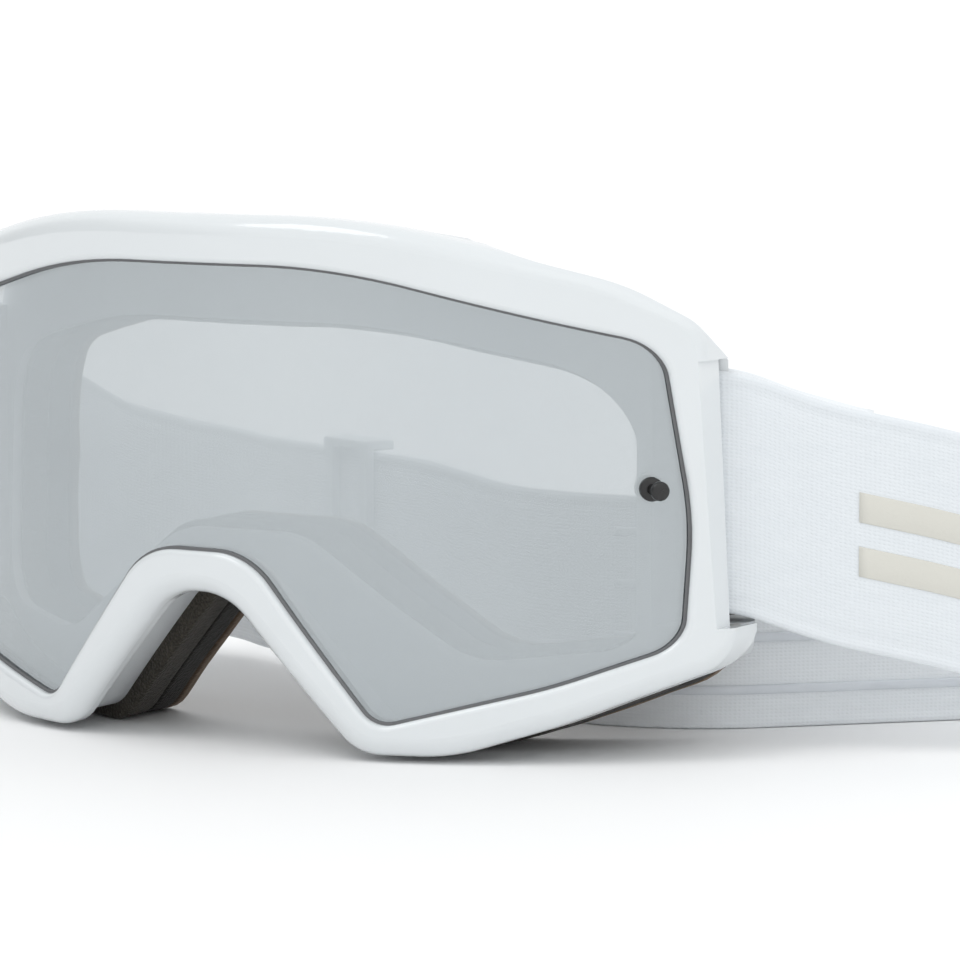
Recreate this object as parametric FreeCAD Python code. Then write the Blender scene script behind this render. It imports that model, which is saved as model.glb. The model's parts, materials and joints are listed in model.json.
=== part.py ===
"""Motorcycle goggles, in millimetres.

+Z is up, +X is the wearer's left and the goggles look along -Y.  The origin is on the
surface that they stand on, straight below the foremost line of the lens.
"""
import FreeCAD, Part
import math
import os

from FreeCAD import Vector

# Lens and frame, front view
WIDTH = 165.4            # across the frame at its widest
HEIGHT = 89.5            # top of the frame above the surface
LENS_RADIUS = 110.0      # outer surface of the single-curved lens
LENS_THICKNESS = 1.2
BEZEL_PROUD = 1.8        # bezel front ahead of the lens surface
BEZEL_WEB = 2.2          # bezel wall behind the lens groove
BEZEL_ROUND = 3.4        # outer front edge of the bezel
LIP_ROUND = 0.9          # edge beside the lens
BAND_TOP = 8.0           # bezel width above the lens
BAND_SIDE = 5.7          # bezel width beside the lens
BAND_LOBE = 5.6          # bezel width below each lobe of the lens
BAND_NOSE = 7.1          # bezel width over the nose
LOBE_GAP = 1.0           # bezel lobes above the surface
LOBE_X = 32.0            # middle of each cheek lobe
NOSE_RISE = 26.5         # nose arch above the surface

# Lens seat
LENS_OVERLAP = 1.3       # lens edge held behind the bezel lip
SEAL_WALL = 0.4
SEAL_LIP = 0.45          # seal that shows beside the bezel lip

# Rear frame
REAR_DEPTH = 14.0        # back of the rear frame behind the lens surface
SKIRT_INSET = 1.6        # skirt inside the bezel's outline
SKIRT_WALL = 2.0
FLANGE = 2.0             # flange that carries the face foam
VENT_GAP = 0.15          # around the foam in each vent
VENT_DEPTH = 3.4         # vent slots, front to back
VENT_RIB = 3.0
VENT_FOAM = 2.4
EAR_SWEEP = 33.0         # how far the sides turn in towards the back, degrees
NOTCH_LEAN = 0.055       # slope of the bezel lip beside each strap slot
SHOULDER_TURN = 31.3     # each upper corner is rounded off along this heading, degrees
SHOULDER_TILT = 6.3      # and this slope

# Face foam
FOAM_BASE = 7.0
FOAM_SOFT = 6.5
FLEECE = 3.0
FOAM_OVERHANG = 1.0      # foam inside the rear opening
FOAM_SPREAD = 2.5        # extra depth of foam at the temples

# Strap and its bars
STRAP_WIDTH = 40.0
WEBBING = 2.0
BAR_INSET = 7.5          # bars inside the frame's sides
BAR_SETBACK = 7.0        # bars behind the bezel's front at its sides
BAR_RADIUS = 2.0
BAR_CLEARANCE = 0.35     # webbing loop round the bar
SLOT_SPARE = 2.0         # slot above and below the webbing
STRAP_DROP = 25.2        # webbing at the bars below the top of the frame
LAYER_GAP = 0.3          # between two layers of webbing
RETURN_LENGTH = 26.0     # doubled webbing beyond each bar
END_X = 186.0            # far end of the loop
FRONT_ANGLE = 30.5       # front run, from +X
SWING_MAX = 8.0          # degrees
OVERLAP_START = 113.0    # end of the right half, outside the left one
OVERLAP_END = 154.0      # end of the left half

# Adjusters, stitching, bands and grip on the strap
GLIDE_LENGTH = 14.0
GLIDE_BAR = 3.0
GLIDE_WALL = 1.8
GLIDE_CLEARANCE = 0.3
TACK = 0.35              # height of stitching over the webbing
STRIPE = 0.3             # height of the printed bands
GRIP = 0.5               # height of the silicone lines

# Tear-off posts
POST_ARC = 78.0          # from the middle of the lens, along its surface
POST_Z = 45.4
POST_RADIUS = 1.0
POST_TILT = 14.0         # stem leans outwards from the lens's own normal, degrees
POST_STEM = 2.2          # free stem between flange and head
POST_FLANGE = 0.6
POST_HEAD = 1.2
POST_CLEARANCE = 0.1
WASHER_GAP = 0.05        # washer behind the lens

# Values that follow from the ones above
HALF = WIDTH / 2
BACK_LIMIT = 95.0
FRONT_RADIUS = LENS_RADIUS + BEZEL_PROUD
LENS_INNER = LENS_RADIUS - LENS_THICKNESS
SEAL_INNER = LENS_INNER - SEAL_WALL
SEAL_OUTER = LENS_RADIUS + SEAL_LIP
BEZEL_INNER = SEAL_INNER - BEZEL_WEB
REAR_RADIUS = LENS_RADIUS - REAR_DEPTH
FLANGE_RADIUS = REAR_RADIUS + FLANGE
BAR_X = HALF - BAR_INSET
SIDE_FRONT = LENS_RADIUS - math.sqrt(FRONT_RADIUS ** 2 - HALF ** 2)
BAR_Y = SIDE_FRONT + BAR_SETBACK
STRAP_TOP = HEIGHT - STRAP_DROP
LOOP_RADIUS = BAR_RADIUS + BAR_CLEARANCE + WEBBING
LOOP_MIDDLE = LOOP_RADIUS - WEBBING / 2
STRAP_LOW = STRAP_TOP - STRAP_WIDTH
SLOT_LOW = STRAP_LOW - SLOT_SPARE
SLOT_HIGH = STRAP_TOP + SLOT_SPARE
POCKET_WALL_X = BAR_X - LOOP_RADIUS - 1.0
POCKET_FRONT_Y = BAR_Y - LOOP_RADIUS - 0.4
FOAM_SIDE_X = POCKET_WALL_X + 1.2
TOP = HEIGHT - BAND_TOP
SIDE_IN = HALF - BAND_SIDE


def save(name, shape):
    """Write one node and report its volume."""
    if not shape.isValid():
        print("not valid:", name)
    shape.exportStep("parts/" + name + ".step")
    print(name, round(shape.Volume), [round(v, 1) for v in (
        shape.BoundBox.XMin, shape.BoundBox.YMin, shape.BoundBox.ZMin,
        shape.BoundBox.XMax, shape.BoundBox.YMax, shape.BoundBox.ZMax)])


def rounded_wire(corners):
    """Closed front-view outline from (x, z, radius) corners, with tangent arcs."""
    edges = []
    count = len(corners)
    starts = []
    for i, (x, z, radius) in enumerate(corners):
        here = Vector(x, 0, z)
        before = Vector(corners[i - 1][0], 0, corners[i - 1][1])
        after = Vector(corners[(i + 1) % count][0], 0, corners[(i + 1) % count][1])
        to_before = (before - here).normalize()
        to_after = (after - here).normalize()
        half_angle = to_before.getAngle(to_after) / 2
        reach = radius / math.tan(half_angle)
        bisector = (to_before + to_after).normalize()
        centre = here + bisector * (radius / math.sin(half_angle))
        first = here + to_before * reach
        last = here + to_after * reach
        middle = centre - bisector * radius
        starts.append((first, middle, last))
    for i, (first, middle, last) in enumerate(starts):
        edges.append(Part.Arc(first, middle, last).toShape())
        following = starts[(i + 1) % count][0]
        if (following - last).Length > 1e-6:
            edges.append(Part.makeLine(last, following))
    return Part.Wire(edges)


def both_sides(half):
    """Corners of the whole outline from those of its +X half, top to bottom."""
    return half + [(-x, z, radius) for x, z, radius in reversed(half)]


def grown(wire, distance):
    """The outline moved outwards, or inwards if the distance is negative."""
    return wire.makeOffset2D(distance)


def prism(wire, front=-20.0, back=BACK_LIMIT):
    """The outline carried along Y."""
    face = Part.Face(wire)
    face.translate(Vector(0, front, 0))
    return face.extrude(Vector(0, back - front, 0))


def drum(radius, front):
    """Upright cylinder whose foremost line is at y = front."""
    base = Vector(0, front + radius, -20)
    return Part.makeCylinder(radius, HEIGHT + 40, base)


def layer(outer_radius, inner_radius):
    """Space between two radii about the lens axis."""
    outer = drum(outer_radius, LENS_RADIUS - outer_radius)
    return outer.cut(drum(inner_radius, LENS_RADIUS - inner_radius))


def block(x0, x1, y0, y1, z0, z1):
    """Box between two corners."""
    return Part.makeBox(x1 - x0, y1 - y0, z1 - z0, Vector(x0, y0, z0))


def mirrored(shape):
    """The same piece on the wearer's right."""
    return shape.mirror(Vector(0, 0, 0), Vector(1, 0, 0))


# ---- outlines, front view ------------------------------------------------------------
def outer_outline():
    """Silhouette of the bezel."""
    flank = 1.115
    lobe = HALF - LOBE_X
    lobe_inner = LOBE_X - 3.5
    nose_half = lobe_inner - (NOSE_RISE - LOBE_GAP) / flank
    return rounded_wire(both_sides([
        (HALF * 0.3628, HEIGHT, 125.0),
        (HALF - 17.9, HEIGHT - 8.6, 28.0),
        (HALF - 4.1, HEIGHT - 16.7, 8.5),
        (HALF + 0.2, 16.8, 8.5),
        (LOBE_X + lobe * 0.5523, LOBE_GAP + 5.6, 60.0),
        (LOBE_X + lobe * 0.2268, LOBE_GAP, 30.0),
        (lobe_inner, LOBE_GAP, 9.0),
        (nose_half, NOSE_RISE, 11.5),
    ]))


def lens_outline():
    """Edge of the bezel lip, where the lens shows."""
    low = LOBE_GAP + BAND_LOBE - 1.0
    flank = 1.26
    nose_top = NOSE_RISE + BAND_NOSE
    lobe_x = LOBE_X + 0.3
    return rounded_wire(both_sides([
        (HALF * 0.3144, TOP, 105.0),
        (SIDE_IN - 3.7, TOP - 12.4, 8.0),
        (SIDE_IN + 0.1, HEIGHT * 0.45, 70.0),
        (SIDE_IN - 0.9, LOBE_GAP + BAND_LOBE + 13.0, 7.0),
        (LOBE_X + (SIDE_IN - LOBE_X) * 0.6, LOBE_GAP + BAND_LOBE + 6.2, 70.0),
        (lobe_x, low, 5.0),
        (lobe_x - (nose_top - low) / flank, nose_top, 13.0),
    ]))


def seat_outline():
    """Opening on the face side of the rear frame."""
    side = HALF - 16.2
    nose_top = NOSE_RISE + 9.2
    return rounded_wire(both_sides([
        (HALF * 0.3144, HEIGHT - 18.3, 90.0),
        (side - 3.5, HEIGHT - 27.0, 17.0),
        (side + 0.3, 17.5, 9.0),
        (LOBE_X + 8.0, 15.0, 12.0),
        (12.0, nose_top, 14.0),
    ]))


def foam_outline():
    """Outer edge of the face foam, lowest of all at the cheek lobes."""
    flank = 1.115
    lobe = FOAM_SIDE_X - LOBE_X
    lobe_inner = LOBE_X - 4.5
    nose_half = lobe_inner - NOSE_RISE / flank
    return rounded_wire(both_sides([
        (HALF * 0.63 - 24.1, HEIGHT - 4.5, 110.0),
        (FOAM_SIDE_X * 0.8374, HEIGHT - 12.8, 26.0),
        (FOAM_SIDE_X - 1.2, HEIGHT - 25.0, 14.0),
        (FOAM_SIDE_X, 11.6, 9.0),
        (LOBE_X + lobe * 0.3073, 0.0, lobe * 1.0243),
        (lobe_inner, 0.0, 8.0),
        (nose_half, NOSE_RISE, 7.0),
    ]))


# ---- lens, seal and tear-off posts ---------------------------------------------------
def post_stack(side, steps, tilt=0.0):
    """Discs of (radius, from, to) along a post's axis, measured from the lens surface."""
    place = POST_ARC / LENS_RADIUS
    foot = Vector(side * math.sin(place), -math.cos(place), 0) * LENS_RADIUS
    foot += Vector(0, LENS_RADIUS, POST_Z)
    lean = place + math.radians(tilt)
    axis = Vector(side * math.sin(lean), -math.cos(lean), 0)
    discs = [
        Part.makeCylinder(radius, stop - start, foot + axis * start, axis)
        for radius, start, stop in steps
    ]
    return discs[0].multiFuse(discs[1:]).removeSplitter() if len(discs) > 1 else discs[0]


def make_lens(opening):
    """Curved pane with a hole for each post."""
    pane = prism(grown(opening, LENS_OVERLAP)).common(layer(LENS_RADIUS, LENS_INNER))
    for side in (1, -1):
        hole = [(POST_RADIUS + POST_CLEARANCE, -LENS_THICKNESS - 1, 1.0)]
        pane = pane.cut(post_stack(side, hole))
    return pane


def make_seal(opening):
    """Soft channel round the edge of the lens."""
    body = prism(grown(opening, LENS_OVERLAP + SEAL_WALL)).common(layer(SEAL_OUTER, SEAL_INNER))
    body = body.cut(prism(grown(opening, -SEAL_LIP)))
    return body.cut(prism(grown(opening, LENS_OVERLAP)).common(layer(LENS_RADIUS, LENS_INNER)))


def make_post(side):
    """Flange, stem and head outside, and a shank through the lens."""
    stem_end = POST_FLANGE + POST_STEM
    seated = post_stack(side, [
        (POST_RADIUS, -LENS_THICKNESS - POST_HEAD, POST_FLANGE),
        (POST_RADIUS * 2, 0, POST_FLANGE),
    ])
    leaning = post_stack(side, [
        (POST_RADIUS, POST_RADIUS * 0.3, stem_end + POST_HEAD),
        (POST_RADIUS * 1.6, stem_end, stem_end + POST_HEAD),
    ], POST_TILT)
    return seated.fuse(leaning).removeSplitter()


def make_post_nut(side):
    """Push-on washer that holds the post from behind."""
    front = -LENS_THICKNESS - WASHER_GAP
    outside = post_stack(side, [(POST_RADIUS * 2.4, -LENS_THICKNESS - POST_HEAD, front)])
    return outside.cut(post_stack(side, [(POST_RADIUS, -LENS_THICKNESS - 3, 0)]))


# ---- frame ---------------------------------------------------------------------------
def strap_pocket(side, front):
    """Room for the webbing loop behind the bezel lip, open to the outside."""
    pocket = block(POCKET_WALL_X, HALF + 10, front, BACK_LIMIT, SLOT_LOW, SLOT_HIGH)
    return pocket if side > 0 else mirrored(pocket)


def swept_back(shape):
    """Trim each side so that it runs in towards the back, the upper ears more than the lower."""
    split = (SLOT_LOW + SLOT_HIGH) / 2
    for z0, z1, x, y in ((split, HEIGHT + 9, HALF - 3.4, BAR_Y - 1.8), (-9, split, HALF - 0.3, BAR_Y + 1.2)):
        angle = math.radians(EAR_SWEEP)
        inward = Vector(-math.sin(angle), math.cos(angle), 0)
        out = Vector(math.cos(angle), math.sin(angle), 0) * 60
        start = Vector(x, y, z0) - inward * 60
        corners = [start, start + inward * 140, start + inward * 140 + out, start + out, start]
        wedge = Part.Face(Part.makePolygon(corners)).extrude(Vector(0, 0, z1 - z0))
        shape = shape.cut(wedge).cut(mirrored(wedge))
    return shape


def shouldered(shape):
    """Round the upper corners off along a slanted line, above the strap slots."""
    waste = prism(rounded_wire([
        (-68.7, 10.0, 1.0), (-36.7, -6.2, 60.0), (-18.0, -10.9, 40.0), (-6.8, -16.7, 10.0),
        (21.3, -44.8, 1.0), (21.3, 32.5, 1.0), (-68.7, 32.5, 1.0),
    ]), -160, 160)
    waste.rotate(Vector(0, 0, 0), Vector(1, 0, 0), -SHOULDER_TILT)
    waste.rotate(Vector(0, 0, 0), Vector(0, 0, 1), SHOULDER_TURN)
    waste.translate(Vector(HALF, SIDE_FRONT, HEIGHT))
    return shape.cut(waste).cut(mirrored(waste))


def round_front_edges(bezel):
    """Round the outline and the lip of the bezel where they meet its front surface."""
    outer = []
    lip = []
    for edge in bezel.Edges:
        samples = [edge.valueAt(edge.FirstParameter + (edge.LastParameter - edge.FirstParameter) * k / 4)
                   for k in range(5)]
        on_front = all(abs(math.hypot(p.x, p.y - LENS_RADIUS) - FRONT_RADIUS) < 0.01 for p in samples)
        if not on_front:
            continue
        middle = samples[2]
        vertex = Part.Vertex(Vector(middle.x, 0, middle.z))
        if vertex.distToShape(outer_outline())[0] < 0.05:
            outer.append(edge)
        else:
            lip.append(edge)
    return bezel.makeFillet(BEZEL_ROUND, outer).makeFillet(LIP_ROUND, lip)


def make_bezel(outline, opening):
    """Glossy front ring with the lens groove and the notch beside each strap slot."""
    bezel = prism(outline).common(layer(FRONT_RADIUS, BEZEL_INNER)).cut(prism(opening))
    bezel = round_front_edges(bezel)
    groove = prism(grown(opening, LENS_OVERLAP + SEAL_WALL)).common(layer(SEAL_OUTER, SEAL_INNER))
    bezel = bezel.cut(groove)
    low_x = HALF - 2.1
    high_x = low_x - NOTCH_LEAN * (SLOT_HIGH - SLOT_LOW)
    corners = [Vector(low_x, 0, SLOT_LOW), Vector(HALF + 9, 0, SLOT_LOW), Vector(HALF + 9, 0, SLOT_HIGH),
               Vector(high_x, 0, SLOT_HIGH), Vector(low_x, 0, SLOT_LOW)]
    notch = Part.Face(Part.makePolygon(corners)).extrude(Vector(0, BACK_LIMIT, 0))
    for side in (1, -1):
        bezel = bezel.cut(strap_pocket(side, POCKET_FRONT_Y))
        bezel = bezel.cut(notch if side > 0 else mirrored(notch))
    return shouldered(swept_back(bezel))


def vent_slots(low, high, first, last, count, depth_gap, side_gap):
    """Row of slots through the skirt, between two heights."""
    middle = (BEZEL_INNER + FLANGE_RADIUS) / 2
    ring = layer(middle + VENT_DEPTH / 2 - depth_gap, middle - VENT_DEPTH / 2 + depth_gap)
    pitch = (last - first + VENT_RIB) / count
    slots = [
        ring.common(block(
            first + i * pitch + side_gap, first + (i + 1) * pitch - VENT_RIB - side_gap,
            -20, BACK_LIMIT, low, high))
        for i in range(count)
    ]
    return slots[0].multiFuse(slots[1:])


TOP_VENTS = (HEIGHT * 0.75, HEIGHT + 5, -63.0, 63.0, 6)
LEFT_VENTS = (-5.0, 16.0, 36.0, 72.0, 2)
RIGHT_VENTS = (-5.0, 16.0, -72.0, -36.0, 2)


def make_rear_frame(outline, seat):
    """Soft frame behind the bezel: skirt, foam flange, vents and strap bars."""
    skirt = grown(outline, -SKIRT_INSET)
    inner = grown(outline, -SKIRT_INSET - SKIRT_WALL)
    body = prism(skirt).common(layer(BEZEL_INNER, REAR_RADIUS))
    body = body.cut(prism(inner).common(layer(BEZEL_INNER + 5, FLANGE_RADIUS)))
    body = body.cut(prism(seat))
    for vents in (TOP_VENTS, LEFT_VENTS, RIGHT_VENTS):
        body = body.cut(vent_slots(*vents, 0.0, 0.0))
    for side in (1, -1):
        body = body.cut(strap_pocket(side, 0))
        body = body.fuse(strap_frame(side, prism(skirt)))
    return shouldered(swept_back(body)).removeSplitter()


def strap_frame(side, skirt):
    """Inner wall of the strap slot, its solid ears and the round bar between them."""
    wall_x = POCKET_WALL_X
    ring = layer(BEZEL_INNER, REAR_RADIUS)
    wall = block(wall_x - 2.0, wall_x, 0, BACK_LIMIT, SLOT_LOW - 3.0, SLOT_HIGH + 3.0)
    upper = block(wall_x - 2.0, HALF + 5, 0, BACK_LIMIT, SLOT_HIGH, SLOT_HIGH + 3.0)
    lower = block(wall_x - 2.0, HALF + 5, 0, BACK_LIMIT, SLOT_LOW - 3.0, SLOT_LOW)
    bar_length = SLOT_HIGH - SLOT_LOW + 2.0
    bar = Part.makeCylinder(BAR_RADIUS, bar_length, Vector(BAR_X, BAR_Y, SLOT_LOW - 1.0))
    solid = wall.multiFuse([upper, lower])
    if side < 0:
        solid = mirrored(solid)
        bar = mirrored(bar)
    return solid.common(ring).common(skirt).fuse(bar)


def vent_foam(outline, vents):
    """Filter foam under the skirt, with a pad that fills each slot."""
    low, high, first, last, _ = vents
    outer = grown(outline, -SKIRT_INSET - SKIRT_WALL - VENT_GAP)
    inner = grown(outline, -SKIRT_INSET - SKIRT_WALL - VENT_FOAM)
    room = block(first, last, -20, BACK_LIMIT, low, high)
    strip = prism(outer).cut(prism(inner)).common(room)
    strip = strip.common(layer(BEZEL_INNER - VENT_GAP, FLANGE_RADIUS + VENT_GAP))
    pads = prism(grown(outline, 0.3 - SKIRT_INSET)).cut(prism(grown(outline, -SKIRT_INSET - SKIRT_WALL - 1.0)))
    pads = pads.common(vent_slots(*vents, VENT_GAP, VENT_GAP))
    return strip.fuse(pads).removeSplitter()


# ---- face foam -----------------------------------------------------------------------
def make_foam_layers():
    """Firm base, softer middle and fleece face, from the flange to the skin."""
    outline = foam_outline()
    ring = prism(outline).cut(prism(grown(seat_outline(), -FOAM_OVERHANG)))
    total = FOAM_BASE + FOAM_SOFT + FLEECE
    front = drum(REAR_RADIUS, REAR_DEPTH)
    names = ("face_foam_base", "face_foam_soft", "face_fleece")
    depth = 0.0
    for name, thickness in zip(names, (FOAM_BASE, FOAM_SOFT, FLEECE)):
        depth += thickness
        radius = REAR_RADIUS - FOAM_SPREAD * depth / total
        back = drum(radius, REAR_DEPTH + depth)
        save(name, shouldered(ring.common(front).cut(back)))
        front = back


# ---- strap ---------------------------------------------------------------------------
def route(corners):
    """Points along a plan route of (x, y, radius) corners.

    Each is (place, left-hand normal, distance); arcs turn in small steps and long
    straights are divided, so that the edge heights can follow the distance.
    """
    path = [Vector(corners[0][0], corners[0][1], 0)]
    for i in range(1, len(corners) - 1):
        x, y, radius = corners[i]
        here = Vector(x, y, 0)
        before = (Vector(corners[i - 1][0], corners[i - 1][1], 0) - here).normalize()
        after = (Vector(corners[i + 1][0], corners[i + 1][1], 0) - here).normalize()
        half_angle = before.getAngle(after) / 2
        reach = radius / math.tan(half_angle)
        bisector = (before + after).normalize()
        centre = here + bisector * (radius / math.sin(half_angle))
        first = here + before * reach - centre
        turn = math.pi - 2 * half_angle
        sense = 1 if before.cross(after).z < 0 else -1
        steps = max(2, math.ceil(math.degrees(turn) / 12))
        for k in range(steps + 1):
            angle = sense * turn * k / steps
            path.append(centre + Vector(
                first.x * math.cos(angle) - first.y * math.sin(angle),
                first.x * math.sin(angle) + first.y * math.cos(angle), 0))
    path.append(Vector(corners[-1][0], corners[-1][1], 0))
    dense = [path[0]]
    for point in path[1:]:
        span = point - dense[-1]
        if span.Length < 0.01:
            continue
        parts = max(1, math.ceil(span.Length / 11))
        start = dense[-1]
        dense.extend(start + span * (k / parts) for k in range(1, parts + 1))
    stations = []
    distance = 0.0
    for i, point in enumerate(dense):
        back = (point - dense[i - 1]).normalize() if i > 0 else None
        ahead = (dense[i + 1] - point).normalize() if i + 1 < len(dense) else None
        along = (back or ahead) + (ahead or back)
        along.normalize()
        stretch = 1 / along.dot(ahead or back)
        if i > 0:
            distance += (point - dense[i - 1]).Length
        stations.append((point, Vector(-along.y, along.x, 0) * stretch, distance))
    return stations


def heights(stops):
    """Lower edge of the webbing against distance, straight between (distance, z) stops."""
    def low(distance):
        for (d0, z0), (d1, z1) in zip(stops, stops[1:]):
            if distance <= d1:
                return z0 + (z1 - z0) * max(0.0, distance - d0) / (d1 - d0)
        return stops[-1][1]
    return low


def ribbon(stations, near, far, low, rise, width):
    """Band standing on edge along the stations, between two offsets from the route."""
    corners = []
    for point, normal, distance in stations:
        bottom = Vector(0, 0, low(distance) + rise)
        top = bottom + Vector(0, 0, width)
        corners.append((
            point + normal * near + bottom, point + normal * far + bottom,
            point + normal * far + top, point + normal * near + top))
    faces = []
    for a, b in zip(corners, corners[1:]):
        faces.append([a[0], b[0], b[3], a[3]])
        faces.append([a[1], a[2], b[2], b[1]])
        faces.append([a[0], a[1], b[1]])
        faces.append([a[0], b[1], b[0]])
        faces.append([a[3], b[2], a[2]])
        faces.append([a[3], b[3], b[2]])
    faces.append(list(reversed(corners[0])))
    faces.append(list(corners[-1]))
    shell = Part.makeShell([Part.Face(Part.makePolygon(face + [face[0]])) for face in faces])
    shell.sewShape()
    solid = Part.makeSolid(shell)
    if solid.Volume < 0:
        solid.reverse()
    return solid


def between(stations, start, stop):
    """The stations from one distance to another, with ends put in at both."""
    chosen = []
    for (p0, n0, d0), (p1, n1, d1) in zip(stations, stations[1:]):
        for distance in (start, stop):
            if d0 < distance < d1:
                share = (distance - d0) / (d1 - d0)
                chosen.append((p0 + (p1 - p0) * share, n0 + (n1 - n0) * share, distance))
        if start <= d1 <= stop:
            chosen.append((p1, n1, d1))
    chosen.sort(key=lambda station: station[2])
    tidy = [chosen[0]]
    for station in chosen[1:]:
        if station[2] - tidy[-1][2] > 0.05:
            tidy.append(station)
    return tidy


def bar_loop(bar, towards, sense):
    """Corners of the webbing from its sewn end, round the bar and out again.

    The run leaves the bar in the plan direction given in degrees; sense is 1 where
    the outward layer is on the right of that direction.
    """
    angle = math.radians(towards)
    along = Vector(math.cos(angle), math.sin(angle), 0)
    left = Vector(-along.y, along.x, 0) * sense
    lay = (WEBBING + LAYER_GAP) / 2
    wide = LOOP_MIDDLE
    places = [
        (RETURN_LENGTH, lay, 0), (14.0, lay, 20.0), (1.0, wide, 6.0),
        (-wide, wide, wide * 0.98), (-wide, -wide, wide * 0.98),
        (1.0, -wide, 6.0), (14.0, -lay, 20.0),
    ]
    return [(bar.x + along.x * s + left.x * n, bar.y + along.y * s + left.y * n, r)
            for s, n, r in places]


# Route length from the sewn end of the webbing to where the outward run passes the bar.
OUTWARD = RETURN_LENGTH + math.pi * LOOP_MIDDLE

# The two halves overlap along Y at the far end, the right one outermost.
INNER_X = END_X - WEBBING - LAYER_GAP


def left_route():
    """Front run, from the left bar to the far end."""
    bar = Vector(BAR_X, BAR_Y, 0)
    corners = bar_loop(bar, FRONT_ANGLE, 1)
    slope = math.tan(math.radians(FRONT_ANGLE))
    last = corners[-1]
    corners.append((INNER_X, last[1] + (INNER_X - last[0]) * slope, 14.0))
    corners.append((INNER_X, OVERLAP_END, 0))
    return route(corners)


def right_route():
    """Rear run, from the right bar back, behind the goggles and out to the far end."""
    bar = Vector(-BAR_X, BAR_Y, 0)
    corners = bar_loop(bar, 89.0, -1)
    corners += [
        (-73.0, 104.0, 16.0), (10.0, 69.0, 60.0), (50.0, 50.5, 38.0),
        (96.0, 97.0, 130.0), (END_X, 182.5, 8.5), (END_X, OVERLAP_START, 0),
    ]
    return route(corners)


def make_strap(side, stations, low):
    """Webbing, bar tacks, printed bands and silicone grip of one half."""
    half = WEBBING / 2
    name = "left" if side > 0 else "right"
    outside = -side
    length = stations[-1][2]
    save("strap_" + name, ribbon(stations, -half, half, low, 0, STRAP_WIDTH))

    def trim(start, stop, height, rise, width, face):
        stretch = between(stations, start, stop)
        edges = sorted((face * half, face * (half + height)))
        return ribbon(stretch, edges[0], edges[1], low, rise, width)

    tacks = [trim(2.5 + k * 3.6, 3.9 + k * 3.6, TACK, 3.0, STRAP_WIDTH - 6, outside)
             for k in range(3)]
    save("strap_stitching_" + name, Part.makeCompound(tacks))
    start = OUTWARD + (22.5 if side > 0 else 176.0)
    bands = [trim(start, start + 62, STRIPE, 12.5 + k * 9.0, 5.0, outside) for k in range(2)]
    save("strap_bands_" + name, Part.makeCompound(bands))
    first, last = (56.0, 108.0) if side > 0 else (176.0, length - OUTWARD - 60.0)
    grips = [trim(OUTWARD + first, OUTWARD + last, GRIP, 6.0 + k * 9.0, 1.6, -outside)
             for k in range(4)]
    save("strap_grip_" + name, Part.makeCompound(grips))


def place_on(stations, distance):
    """Point and direction of the route at a distance."""
    for (p0, _, d0), (p1, _, d1) in zip(stations, stations[1:]):
        if d0 <= distance <= d1:
            along = (p1 - p0).normalize()
            return p0 + along * (distance - d0), along
    return stations[-1][0], along


def make_glide(point, along, low, front, back):
    """Three-bar glide: two bars before the webbing and one behind it."""
    tall = STRAP_WIDTH + 2 * GLIDE_CLEARANCE
    half = GLIDE_LENGTH / 2
    rail = GLIDE_WALL
    pieces = []
    for z in (-GLIDE_CLEARANCE - rail, STRAP_WIDTH + GLIDE_CLEARANCE):
        pieces.append(block(-half, half, front - rail, back + rail, z, z + rail))
    for x in (-half, half - GLIDE_BAR):
        pieces.append(block(x, x + GLIDE_BAR, front - rail, front, -GLIDE_CLEARANCE - rail,
                            tall - GLIDE_CLEARANCE + rail))
    pieces.append(block(-GLIDE_BAR / 2, GLIDE_BAR / 2, back, back + rail, -GLIDE_CLEARANCE - rail,
                        tall - GLIDE_CLEARANCE + rail))
    glide = pieces[0].multiFuse(pieces[1:]).removeSplitter()
    glide.rotate(Vector(0, 0, 0), Vector(0, 0, 1), math.degrees(math.atan2(along.y, along.x)))
    glide.translate(point + Vector(0, 0, low))
    return glide


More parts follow.
